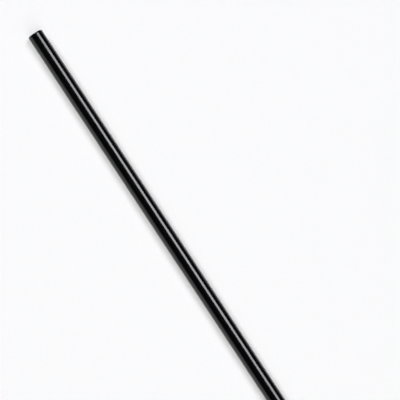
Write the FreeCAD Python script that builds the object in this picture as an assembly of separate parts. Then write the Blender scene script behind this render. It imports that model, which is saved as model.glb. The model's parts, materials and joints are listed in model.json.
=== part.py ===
"""Jumbo drinking straw: one straight extruded tube, cut square at both ends.

The straw lies along X on the plane z = 0, with the middle of its length over the origin.
All lengths are in millimetres.
"""

import FreeCAD, Part
import math
import os

# Driving dimensions of the tube
STRAW_LENGTH = 197.0      # cut length, 7 3/4 in
OUTER_DIAMETER = 6.0      # across the outside of the wall
WALL_THICKNESS = 0.18     # extruded wall, the same all the way round

# The knife leaves both corners of each cut end softly rounded
OUTER_LIP_RADIUS = 0.08
INNER_LIP_RADIUS = 0.05

# What follows from them
OUTER_RADIUS = OUTER_DIAMETER / 2
BORE_RADIUS = OUTER_RADIUS - WALL_THICKNESS
HALF_LENGTH = STRAW_LENGTH / 2

AXIS_POINT = FreeCAD.Vector(0, 0, OUTER_RADIUS)
AXIS_DIRECTION = FreeCAD.Vector(1, 0, 0)
FULL_TURN = 360


def section_point(along, radius):
    """Return the point at a place along the straw and a distance straight down from its axis."""
    return FreeCAD.Vector(along, 0, OUTER_RADIUS - radius)


def lip_arc(end, radius, side, lip):
    """Return the quarter round between an end face and the outside or the bore.

    end is -1 or +1 for the cut end, radius is the wall's radius on that side, and side is
    +1 for the outside and -1 for the bore. The arc runs from the end face to the wall.
    """
    centre_along = end * (HALF_LENGTH - lip)
    centre_radius = radius - side * lip
    diagonal = lip * math.sqrt(0.5)
    return Part.Arc(
        section_point(end * HALF_LENGTH, centre_radius),
        section_point(centre_along + end * diagonal, centre_radius + side * diagonal),
        section_point(centre_along, radius),
    )


def wall_section():
    """Return the wall cut lengthwise: a long thin strip with its four corners rounded."""
    arcs = {}
    for end in (-1, 1):
        arcs[end, "outside"] = lip_arc(end, OUTER_RADIUS, 1, OUTER_LIP_RADIUS)
        arcs[end, "bore"] = lip_arc(end, BORE_RADIUS, -1, INNER_LIP_RADIUS)
    lines = [
        Part.LineSegment(arcs[-1, side].EndPoint, arcs[1, side].EndPoint)
        for side in ("outside", "bore")
    ]
    lines += [
        Part.LineSegment(arcs[end, "bore"].StartPoint, arcs[end, "outside"].StartPoint)
        for end in (-1, 1)
    ]
    edges = [curve.toShape() for curve in list(arcs.values()) + lines]
    return Part.Face(Part.Wire(Part.__sortEdges__(edges)))


def straw_tube():
    """Return the whole straw, the wall's section turned once round the tube's axis."""
    return wall_section().revolve(AXIS_POINT, AXIS_DIRECTION, FULL_TURN)


os.makedirs("parts", exist_ok=True)
straw_tube().exportStep("parts/straw_tube.step")
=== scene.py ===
"""Looks of a black jumbo drinking straw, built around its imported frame.

The straw lies along X on a pale table, with the middle of its length over the origin. The
camera looks down on it. A long softbox almost overhead draws the highlight down the tube, and
two white bounces light the table and both ends. All lengths are in metres.
"""

import json
import logging
import math
from collections.abc import Callable, Mapping
from dataclasses import dataclass
from enum import Enum
from typing import Any, Union

import bmesh
import bpy
from mathutils import Matrix, Vector

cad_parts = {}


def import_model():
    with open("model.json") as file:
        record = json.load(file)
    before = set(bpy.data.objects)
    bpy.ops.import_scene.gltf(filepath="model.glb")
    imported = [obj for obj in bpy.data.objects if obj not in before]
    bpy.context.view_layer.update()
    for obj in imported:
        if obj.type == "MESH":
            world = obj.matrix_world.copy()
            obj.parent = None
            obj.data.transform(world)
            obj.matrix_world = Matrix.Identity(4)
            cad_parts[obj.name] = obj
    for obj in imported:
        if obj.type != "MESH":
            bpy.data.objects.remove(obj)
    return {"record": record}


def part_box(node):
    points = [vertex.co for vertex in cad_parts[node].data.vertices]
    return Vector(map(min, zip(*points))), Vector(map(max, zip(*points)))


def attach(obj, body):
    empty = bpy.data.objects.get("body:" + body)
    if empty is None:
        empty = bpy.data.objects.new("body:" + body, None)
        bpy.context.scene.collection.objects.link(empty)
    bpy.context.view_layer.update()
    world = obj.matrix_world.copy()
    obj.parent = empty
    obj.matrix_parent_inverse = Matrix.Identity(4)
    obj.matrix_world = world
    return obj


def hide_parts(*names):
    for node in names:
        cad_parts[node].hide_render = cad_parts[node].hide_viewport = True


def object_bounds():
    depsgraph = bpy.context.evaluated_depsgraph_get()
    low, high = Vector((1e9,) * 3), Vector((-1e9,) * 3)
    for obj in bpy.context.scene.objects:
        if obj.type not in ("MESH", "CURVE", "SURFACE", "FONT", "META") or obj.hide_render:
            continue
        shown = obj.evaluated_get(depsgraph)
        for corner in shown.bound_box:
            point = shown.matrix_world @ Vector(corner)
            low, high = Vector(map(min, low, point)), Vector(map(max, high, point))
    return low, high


LOG = logging.getLogger("straw")

MM = 0.001
CAD_NODE = "straw_tube"
BODY = "root"

Colour = tuple[float, float, float]
Levels = tuple[float, float]
Value = Union[float, "Signal"]


class Corner(Enum):
    """The two corners that a cut end has round it."""

    OUTSIDE = "outside"
    BORE = "bore"


class Signal:
    """A number that varies over a surface, and takes part in Python's arithmetic."""

    def __init__(self, graph: "ShaderGraph", socket: bpy.types.NodeSocket) -> None:
        """Wrap one output socket of the graph."""
        self.graph = graph
        self.socket = socket

    def _math(self, operation: str, *values: Value) -> "Signal":
        """Return a Math node's result.

        Args:
            operation: the Math node's operation.
            values: its inputs in order, numbers or signals.

        Returns:
            The result as a signal.
        """
        node = self.graph.node("ShaderNodeMath", {"operation": operation}, dict(enumerate(values)))
        return Signal(self.graph, node.outputs[0])

    def __add__(self, other: Value) -> "Signal":
        """Return self + other."""
        return self._math("ADD", self, other)

    __radd__ = __add__

    def __sub__(self, other: Value) -> "Signal":
        """Return self - other."""
        return self._math("SUBTRACT", self, other)

    def __rsub__(self, other: Value) -> "Signal":
        """Return other - self."""
        return self._math("SUBTRACT", other, self)

    def __mul__(self, other: Value) -> "Signal":
        """Return self * other."""
        return self._math("MULTIPLY", self, other)

    __rmul__ = __mul__

    def __truediv__(self, other: Value) -> "Signal":
        """Return self / other."""
        return self._math("DIVIDE", self, other)

    def __rtruediv__(self, other: Value) -> "Signal":
        """Return other / self."""
        return self._math("DIVIDE", other, self)

    def __pow__(self, power: Value) -> "Signal":
        """Return self raised to a power."""
        return self._math("POWER", self, power)

    def __rpow__(self, base: Value) -> "Signal":
        """Return a base raised to the power of self."""
        return self._math("POWER", base, self)

    def __abs__(self) -> "Signal":
        """Return the signal without its sign."""
        return self._math("ABSOLUTE", self)

    def step_up(self, start: float, end: float) -> "Signal":
        """Return a mask that rises smoothly from 0 to 1.

        Args:
            start: the level up to which the mask is 0.
            end: the level from which it is 1, above start or below it.

        Returns:
            The mask.
        """
        node = self.graph.node(
            "ShaderNodeMapRange",
            {"interpolation_type": "SMOOTHSTEP"},
            {"Value": self, "From Min": start, "From Max": end},
        )
        return Signal(self.graph, node.outputs["Result"])


class ShaderGraph:
    """The nodes of one material or world."""

    def __init__(self, tree: bpy.types.NodeTree) -> None:
        """Empty the tree and keep it."""
        tree.nodes.clear()
        self.tree = tree

    def node(
        self,
        kind: str,
        settings: Mapping[str, Any] | None = None,
        inputs: Mapping[str | int, Any] | None = None,
    ) -> bpy.types.Node:
        """Add a node.

        Args:
            kind: the node's type.
            settings: its own settings, set first.
            inputs: values, signals or sockets for its input sockets, by name or number.

        Returns:
            The new node.
        """
        node = self.tree.nodes.new(kind)
        for name, value in (settings or {}).items():
            setattr(node, name, value)
        for name, value in (inputs or {}).items():
            if isinstance(value, Signal):
                value = value.socket
            if isinstance(value, bpy.types.NodeSocket):
                self.tree.links.new(value, node.inputs[name])
            else:
                node.inputs[name].default_value = value
        return node

    def axes(self, coordinates: str = "Object") -> tuple[Signal, Signal, Signal]:
        """Return the x, y and z of the named texture coordinates."""
        place = self.node("ShaderNodeTexCoord").outputs[coordinates]
        split = self.node("ShaderNodeSeparateXYZ", inputs={0: place})
        return tuple(Signal(self, split.outputs[axis]) for axis in range(3))

    def noise(self, point: tuple[Value, Value, Value], layers: float) -> Signal:
        """Return fractal noise at a point whose unit is the size of the largest cells.

        Args:
            point: the three coordinates.
            layers: how many finer layers are added.

        Returns:
            Noise about 0.5.
        """
        joined = self.node("ShaderNodeCombineXYZ", inputs=dict(enumerate(point)))
        cells = self.node(
            "ShaderNodeTexNoise",
            inputs={"Vector": joined.outputs[0], "Scale": 1.0, "Detail": layers},
        )
        return Signal(self, cells.outputs["Fac"])

    def blend(
        self, mask: Signal, first: Colour | bpy.types.NodeSocket, second: Colour
    ) -> bpy.types.NodeSocket:
        """Mix two colours.

        Args:
            mask: 0 gives the first colour and 1 the second.
            first: a colour, or the socket of one.
            second: a colour.

        Returns:
            The socket of the mixed colour.
        """
        node = self.node("ShaderNodeMix", {"data_type": "RGBA"}, {"Factor": mask})
        sockets = [socket for socket in node.inputs if socket.type == "RGBA"]
        for socket, colour in zip(sockets, (first, second)):
            if isinstance(colour, bpy.types.NodeSocket):
                self.tree.links.new(colour, socket)
            else:
                socket.default_value = (*colour, 1.0)
        return next(socket for socket in node.outputs if socket.type == "RGBA")

    def close(self, shader: bpy.types.Node, output: str = "ShaderNodeOutputMaterial") -> None:
        """Lead a shader to the output."""
        self.node(output, inputs={"Surface": shader.outputs[0]})


def new_material(name: str) -> tuple[bpy.types.Material, ShaderGraph]:
    """Return a new material and its empty graph."""
    material = bpy.data.materials.new(name)
    material.use_nodes = True
    return material, ShaderGraph(material.node_tree)


@dataclass(frozen=True)
class TubeSizes:
    """The straw's sizes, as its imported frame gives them."""

    length: float
    outer_radius: float
    bore_radius: float
    outer_lip: float
    inner_lip: float
    axis_height: float

    @classmethod
    def from_frame(cls, record: Mapping[str, Any]) -> "TubeSizes":
        """Read the sizes from the CAD node's box and from the record's two mounts.

        Args:
            record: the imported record.

        Returns:
            The sizes in metres.
        """
        low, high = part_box(CAD_NODE)
        dims = {mount["name"]: mount["dims"] for mount in record["mounts"]}
        length = high.x - low.x
        return cls(
            length=length,
            outer_radius=(high.z - low.z) / 2,
            bore_radius=dims["bore"]["r_mm"] * MM,
            outer_lip=(length - dims["outside"]["length_mm"] * MM) / 2,
            inner_lip=(length - dims["bore"]["length_mm"] * MM) / 2,
            axis_height=(high.z + low.z) / 2,
        )

    @property
    def wall(self) -> float:
        """The thickness of the wall."""
        return self.outer_radius - self.bore_radius


@dataclass(frozen=True)
class BlackPolypropylene:
    """Glossy black plastic as it leaves the die, with fine lines drawn along the tube.

    Two fades say where one finish gives way to another, first where it begins and then where
    it is complete: the bore's in shares of the wall from the bore outwards, and the cut's in
    radii of the outer lip from the cut inwards.
    """

    deep: Colour = (0.0010, 0.0010, 0.0011)
    worn: Colour = (0.0022, 0.0022, 0.0024)
    cut: Colour = (0.0060, 0.0060, 0.0063)
    refraction: float = 1.49
    gloss_roughness: float = 0.14
    line_roughness: float = 0.05
    scuff_roughness: float = 0.06
    bore_roughness: float = 0.30
    cut_roughness: float = 0.48
    bore_fade: Levels = (0.60, 0.30)
    cut_fade: Levels = (0.5, 0.1)
    lines_round: float = 26.0
    line_length: float = 60 * MM
    line_depth: float = 0.0025 * MM
    line_layers: float = 3.0
    scuff_length: float = 3.5 * MM
    scuff_width: float = 0.35 * MM
    scuff_levels: Levels = (0.56, 0.72)
    scuff_layers: float = 4.0
    knife_mark: float = 0.05 * MM
    knife_stroke: float = 0.60 * MM
    knife_depth: float = 0.004 * MM
    knife_layers: float = 2.0

    def material(self, sizes: TubeSizes) -> bpy.types.Material:
        """Return the straw's material.

        Args:
            sizes: the tube that the pattern follows.

        Returns:
            The finished material.
        """
        material, graph = new_material("black_polypropylene")
        along, across, up = graph.axes()
        height = up - sizes.axis_height
        radius = (across**2 + height**2) ** 0.5
        side, top = across / radius, height / radius

        lines = graph.noise(
            (along / self.line_length, side * self.lines_round, top * self.lines_round),
            self.line_layers,
        )
        scuffs_round = sizes.outer_radius / self.scuff_width
        scuffs = graph.noise(
            (along / self.scuff_length, side * scuffs_round, top * scuffs_round),
            self.scuff_layers,
        )
        scuffed = scuffs.step_up(*self.scuff_levels)
        knife = graph.noise(
            (0.0, across / self.knife_mark, up / self.knife_stroke), self.knife_layers
        )

        in_bore = radius.step_up(
            *(sizes.bore_radius + share * sizes.wall for share in self.bore_fade)
        )
        on_cut = abs(along).step_up(
            *(sizes.length / 2 - lips * sizes.outer_lip for lips in self.cut_fade)
        )

        scuff_haze = scuffed * self.scuff_roughness
        outside = self.gloss_roughness + lines * self.line_roughness + scuff_haze
        walls = outside + in_bore * (self.bore_roughness - self.gloss_roughness)
        roughness = walls + on_cut * (self.cut_roughness - walls)

        relief_in_metres = lines * self.line_depth + on_cut * (knife * self.knife_depth)
        bump = graph.node(
            "ShaderNodeBump", inputs={"Distance": 1.0, "Height": relief_in_metres}
        )
        skin = graph.blend(scuffed, self.deep, self.worn)
        shader = graph.node(
            "ShaderNodeBsdfPrincipled",
            inputs={
                "Base Color": graph.blend(on_cut, skin, self.cut),
                "Roughness": roughness,
                "IOR": self.refraction,
                "Normal": bump.outputs[0],
            },
        )
        graph.close(shader)
        return material


@dataclass(frozen=True)
class PaleTable:
    """A plain matt white table top with a very fine grain."""

    light: Colour = (0.955, 0.955, 0.948)
    dark: Colour = (0.940, 0.940, 0.933)
    roughness: float = 0.9
    specular: float = 0.0
    grain: float = 0.8 * MM
    grain_levels: Levels = (0.35, 0.65)
    grain_layers: float = 3.0

    def material(self) -> bpy.types.Material:
        """Return the table's material."""
        material, graph = new_material("pale_table")
        grain = graph.noise(
            tuple(axis / self.grain for axis in graph.axes()), self.grain_layers
        )
        pale_grain = grain.step_up(*self.grain_levels)
        shader = graph.node(
            "ShaderNodeBsdfPrincipled",
            inputs={
                "Base Color": graph.blend(pale_grain, self.dark, self.light),
                "Roughness": self.roughness,
                "Specular IOR Level": self.specular,
            },
        )
        graph.close(shader)
        return material


def select_edges(piece: bpy.types.Object, test: Callable[[bmesh.types.BMEdge], bool]) -> None:
    """Select a mesh's edges in edit mode by their place.

    Args:
        piece: the object in edit mode.
        test: says of one edge whether it is selected.
    """
    bpy.ops.mesh.select_mode(type="EDGE")
    bpy.ops.mesh.select_all(action="DESELECT")
    mesh = bmesh.from_edit_mesh(piece.data)
    for edge in mesh.edges:
        edge.select_set(test(edge))
    mesh.select_flush_mode()
    bmesh.update_edit_mesh(piece.data)


def only(piece: bpy.types.Object) -> None:
    """Make a piece the one selected and active object."""
    bpy.ops.object.select_all(action="DESELECT")
    piece.select_set(True)
    bpy.context.view_layer.objects.active = piece


def apply_modifier(piece: bpy.types.Object, kind: str, settings: Mapping[str, Any]) -> None:
    """Add a modifier to a piece and apply it.

    Args:
        piece: the object.
        kind: the modifier's type.
        settings: its settings.
    """
    only(piece)
    modifier = piece.modifiers.new(kind.lower(), kind)
    for name, value in settings.items():
        setattr(modifier, name, value)
    bpy.ops.object.modifier_apply(modifier=modifier.name)


@dataclass
class StrawTube:
    """The whole straw: one thin-walled tube, cut off square at both ends.

    An end zone is the last stretch at each end, with closer rings than the body between. The
    knife pinches in the outer part of it. An edge is still uncut where it is at least
    uncut_share of an end zone's run from the pinch to the body.
    """

    sizes: TubeSizes
    finish: BlackPolypropylene
    sides: int = 128
    body_rings: int = 76
    end_zone: float = 4 * MM
    end_rings: int = 7
    uncut_share: float = 0.9
    pinch: float = 0.045 * MM
    pinch_length: float = 0.60 * MM
    pinch_rings: int = 4
    surge: float = 0.012 * MM
    surge_wave: float = 24 * MM
    lip_steps: int = 4
    cut_tolerance: float = 0.001 * MM
    smooth_below: float = math.radians(40)

    def build(self) -> bpy.types.Object:
        """Return the finished tube mesh, named and dressed."""
        tube = self._draw_skin()
        self._add_surge(tube)
        apply_modifier(
            tube,
            "SOLIDIFY",
            {
                "thickness": self.sizes.wall,
                "offset": -1.0,
                "use_even_offset": True,
                "use_rim": True,
            },
        )
        self._square_ends(tube)
        self._round_lips(tube)
        only(tube)
        bpy.ops.object.shade_smooth_by_angle(angle=self.smooth_below)
        tube.data.materials.append(self.finish.material(self.sizes))
        return tube

    def _rings(self) -> list[tuple[float, float]]:
        """Return the skin's rings from end to end, each as its place along and its radius.

        The knife pinches each end in, most at the cut and not at all at pinch_length from it.
        """
        half = self.sizes.length / 2
        pinched = []
        for ring in range(self.pinch_rings + 1):
            share = ring / self.pinch_rings
            radius = self.sizes.outer_radius - self.pinch * (1 - share) ** 2
            pinched.append((half - share * self.pinch_length, radius))
        one_end = pinched + [(half - self.end_zone, self.sizes.outer_radius)]
        return [(-along, radius) for along, radius in one_end] + one_end[::-1]

    def _draw_skin(self) -> bpy.types.Object:
        """Return the tube's outside as a bare skin, drawn out of one ring and cut into rings."""
        (start, radius), *others = self._rings()
        bpy.ops.object.select_all(action="DESELECT")
        bpy.ops.mesh.primitive_circle_add(
            vertices=self.sides,
            radius=radius,
            fill_type="NOTHING",
            calc_uvs=False,
            location=(start, 0.0, self.sizes.axis_height),
            rotation=(0.0, math.pi / 2, 0.0),
        )
        tube = bpy.context.object
        tube.name = tube.data.name = "straw"
        bpy.ops.object.transform_apply(location=True, rotation=True, scale=True)
        bpy.ops.object.mode_set(mode="EDIT")
        bpy.ops.mesh.select_mode(type="EDGE")
        bpy.ops.mesh.select_all(action="SELECT")
        along = start
        for next_along, next_radius in others:
            growth = next_radius / radius
            bpy.ops.mesh.extrude_region_move(
                TRANSFORM_OT_translate={"value": (next_along - along, 0.0, 0.0)}
            )
            bpy.ops.transform.resize(
                value=(1.0, growth, growth),
                center_override=(next_along, 0.0, self.sizes.axis_height),
            )
            along, radius = next_along, next_radius
        body_end = self.sizes.length / 2 - self.end_zone
        for cuts, in_body in ((self.body_rings, True), (self.end_rings, False)):
            select_edges(tube, lambda edge: self._runs_along(edge, body_end, in_body))
            bpy.ops.mesh.subdivide(number_cuts=cuts)
        bpy.ops.mesh.select_all(action="SELECT")
        bpy.ops.mesh.normals_make_consistent(inside=False)
        bpy.ops.object.mode_set(mode="OBJECT")
        return tube

    def _runs_along(self, edge: bmesh.types.BMEdge, body_end: float, in_body: bool) -> bool:
        """Say whether an edge is an uncut long one of the body or of an end zone.

        Args:
            edge: the edge.
            body_end: how far the body reaches from the middle.
            in_body: asks for the body's edges, and otherwise for those of the end zones.

        Returns:
            Whether it is.
        """
        first, last = (vertex.co.x for vertex in edge.verts)
        end_run = self.end_zone - self.pinch_length
        uncut = abs(last - first) > self.uncut_share * end_run
        return uncut and (abs(first + last) / 2 < body_end) == in_body

    def _add_surge(self, tube: bpy.types.Object) -> None:
        """Draw the skin in a little here and there, as the pull on the soft tube varies."""
        waves = bpy.data.textures.new("surge", "CLOUDS")
        waves.noise_scale = self.surge_wave
        waves.noise_depth = 1
        apply_modifier(
            tube,
            "DISPLACE",
            {
                "texture": waves,
                "texture_coords": "LOCAL",
                "direction": "NORMAL",
                "strength": self.surge,
                "mid_level": 1.0,
            },
        )
        bpy.data.textures.remove(waves)

    def _square_ends(self, tube: bpy.types.Object) -> None:
        """Flatten both cut faces, which lean where the wall is drawn in with the skin."""
        only(tube)
        bpy.ops.object.mode_set(mode="EDIT")
        for end in (-self.sizes.length / 2, self.sizes.length / 2):
            select_edges(tube, lambda edge: self._is_near_cut(edge, end))
            bpy.ops.transform.resize(
                value=(0.0, 1.0, 1.0), center_override=(end, 0.0, self.sizes.axis_height)
            )
        bpy.ops.object.mode_set(mode="OBJECT")

    def _is_near_cut(self, edge: bmesh.types.BMEdge, end: float) -> bool:
        """Say whether an edge lies within half a step of the pinch from a cut."""
        reach = self.pinch_length / self.pinch_rings / 2
        return all(abs(vertex.co.x - end) < reach for vertex in edge.verts)

    def _round_lips(self, tube: bpy.types.Object) -> None:
        """Round the two corners that the knife leaves at each cut end."""
        lips = {Corner.OUTSIDE: self.sizes.outer_lip, Corner.BORE: self.sizes.inner_lip}
        only(tube)
        bpy.ops.object.mode_set(mode="EDIT")
        for corner, lip in lips.items():
            select_edges(tube, lambda edge: self._corner_of(edge) is corner)
            bpy.ops.mesh.bevel(
                offset=lip,
                offset_type="OFFSET",
                segments=self.lip_steps,
                profile=0.5,
                affect="EDGES",
            )
        bpy.ops.object.mode_set(mode="OBJECT")

    def _corner_of(self, edge: bmesh.types.BMEdge) -> Corner | None:
        """Return the corner of a cut end that an edge runs round, or None for another edge."""
        at_cut = self.sizes.length / 2 - self.cut_tolerance
        if any(abs(vertex.co.x) < at_cut for vertex in edge.verts):
            return None
        inner_lip_end = self.sizes.bore_radius - self.pinch + self.sizes.inner_lip
        sides = {
            math.hypot(vertex.co.y, vertex.co.z - self.sizes.axis_height) > inner_lip_end
            for vertex in edge.verts
        }
        if len(sides) > 1:
            return None
        return Corner.OUTSIDE if sides.pop() else Corner.BORE


@dataclass(frozen=True)
class Table:
    """The table top under the straw."""

    finish: PaleTable
    half_side: float = 0.9

    def build(self, height: float) -> bpy.types.Object:
        """Return the table top at a height."""
        bpy.ops.object.select_all(action="DESELECT")
        bpy.ops.mesh.primitive_plane_add(size=2 * self.half_side, location=(0.0, 0.0, height))
        table = bpy.context.object
        table.name = table.data.name = "table"
        bpy.ops.object.transform_apply(location=True, rotation=True, scale=True)
        table.data.materials.append(self.finish.material())
        return table


@dataclass(frozen=True)
class Viewpoint:
    """Where the camera stands and how the straw lies in its view.

    The lean and the tilt turn the camera from straight above, along the straw and across it,
    and the slope turns the view round its own axis.
    """

    lean: float = math.radians(8.5)
    tilt: float = math.radians(22.0)
    slope: float = math.radians(33.42)
    distance: float = 2.2
    width_taken_in: float = 150.8 * MM
    aim_along: float = -10.6 * MM
    aim_across: float = 17.54 * MM
    sensor: float = 36.0
    nearest: float = 0.01
    farthest: float = 20.0

    def build(self, axis_height: float) -> bpy.types.Object:
        """Return the scene's camera.

        Args:
            axis_height: the height of the straw's axis, which the view is measured at.

        Returns:
            The camera object.
        """
        across = Vector((0.0, math.cos(self.tilt), math.sin(self.tilt)))
        over = Vector((0.0, -math.sin(self.tilt), math.cos(self.tilt)))
        straw = Vector((1.0, 0.0, 0.0))
        back = straw * math.sin(self.lean) + over * math.cos(self.lean)
        down_straw = straw * math.cos(self.lean) - over * math.sin(self.lean)
        right = down_straw * math.sin(self.slope) + across * math.cos(self.slope)
        up = across * math.sin(self.slope) - down_straw * math.cos(self.slope)
        aim = Vector((0.0, 0.0, axis_height)) + straw * self.aim_along + across * self.aim_across
        camera = bpy.data.objects.new("camera", bpy.data.cameras.new("camera"))
        camera.data.sensor_width = self.sensor
        camera.data.lens = self.sensor * self.distance / self.width_taken_in
        camera.data.clip_start = self.nearest
        camera.data.clip_end = self.farthest
        turn = Matrix((right, up, back)).transposed().to_4x4()
        camera.matrix_world = Matrix.Translation(aim + back * self.distance) @ turn
        bpy.context.scene.collection.objects.link(camera)
        bpy.context.scene.camera = camera
        return camera


@dataclass(frozen=True)
class Softbox:
    """A soft rectangular lamp that faces the straw, with its length along the straw.

    Its two angles, in degrees, lean it from straight overhead, across the straw and along it.
    """

    name: str
    radiance: float
    distance: float
    length: float
    width: float
    side_angle: float
    along_angle: float
    colour: Colour = (1.0, 1.0, 1.0)

    def build(self, aim: Vector) -> bpy.types.Object:
        """Return the lamp.

        Args:
            aim: the point that it faces.

        Returns:
            The lamp object.
        """
        side, along = math.radians(self.side_angle), math.radians(self.along_angle)
        toward = Vector(
            (math.sin(along), math.sin(side) * math.cos(along), math.cos(side) * math.cos(along))
        )
        lengthwise = Vector((1.0, 0.0, 0.0)) - toward * toward.x
        lengthwise.normalize()
        turn = Matrix((lengthwise, toward.cross(lengthwise), toward)).transposed().to_4x4()
        lamp = bpy.data.lights.new(self.name, "AREA")
        lamp.shape = "RECTANGLE"
        lamp.size, lamp.size_y = self.length, self.width
        lamp.color = self.colour
        lamp.energy = self.radiance * math.pi * self.length * self.width
        softbox = bpy.data.objects.new(self.name, lamp)
        softbox.matrix_world = Matrix.Translation(aim + toward * self.distance) @ turn
        softbox.visible_camera = False
        bpy.context.scene.collection.objects.link(softbox)
        return softbox


@dataclass(frozen=True)
class DimRoom:
    """The unlit studio: pale round the table's edge and dark overhead.

    pale_below and dark_above are heights on a sphere of radius 1 round the eye.
    """

    pale: Colour = (0.94, 0.94, 0.94)
    dark: Colour = (0.006, 0.006, 0.006)
    pale_below: float = 0.036
    dark_above: float = 0.06

    def build(self) -> bpy.types.World:
        """Return the scene's world."""
        world = bpy.data.worlds.new("dim_room")
        world.use_nodes = True
        graph = ShaderGraph(world.node_tree)
        height = graph.axes("Generated")[2]
        overhead = height.step_up(self.pale_below, self.dark_above)
        light = graph.node(
            "ShaderNodeBackground", inputs={"Color": graph.blend(overhead, self.pale, self.dark)}
        )
        graph.close(light, "ShaderNodeOutputWorld")
        bpy.context.scene.world = world
        return world


SOFTBOXES = (
    Softbox(
        name="strip_over",
        radiance=12.1,
        distance=3.0,
        length=0.60,
        width=1.45,
        side_angle=15.9,
        along_angle=-9.0,
        colour=(0.945, 0.945, 1.0),
    ),
    Softbox(
        name="far_wall",
        radiance=10.0,
        distance=12.0,
        length=10.9,
        width=4.6,
        side_angle=-25.0,
        along_angle=-52.0,
    ),
    Softbox(
        name="near_fill",
        radiance=2.2,
        distance=2.0,
        length=1.82,
        width=0.76,
        side_angle=-25.0,
        along_angle=36.0,
    ),
)


def main() -> None:
    """Build the straw, its table, the lamps and the camera."""
    logging.basicConfig(level=logging.INFO, format="%(name)s: %(message)s")
    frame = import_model()
    cad_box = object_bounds()
    sizes = TubeSizes.from_frame(frame["record"])

    straw = StrawTube(sizes, BlackPolypropylene()).build()
    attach(straw, BODY)
    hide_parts(CAD_NODE)
    LOG.info("straw: %d faces", len(straw.data.polygons))

    table = Table(PaleTable()).build(cad_box[0].z)
    LOG.info("table: %.1f m wide", 2 * Table.half_side)

    middle = Vector((0.0, 0.0, sizes.axis_height))
    for softbox in SOFTBOXES:
        softbox.build(middle)
        LOG.info("softbox: %s", softbox.name)
    DimRoom().build()
    Viewpoint().build(sizes.axis_height)
    bpy.context.scene.view_settings.view_transform = "Standard"


if __name__ == "__main__":
    main()
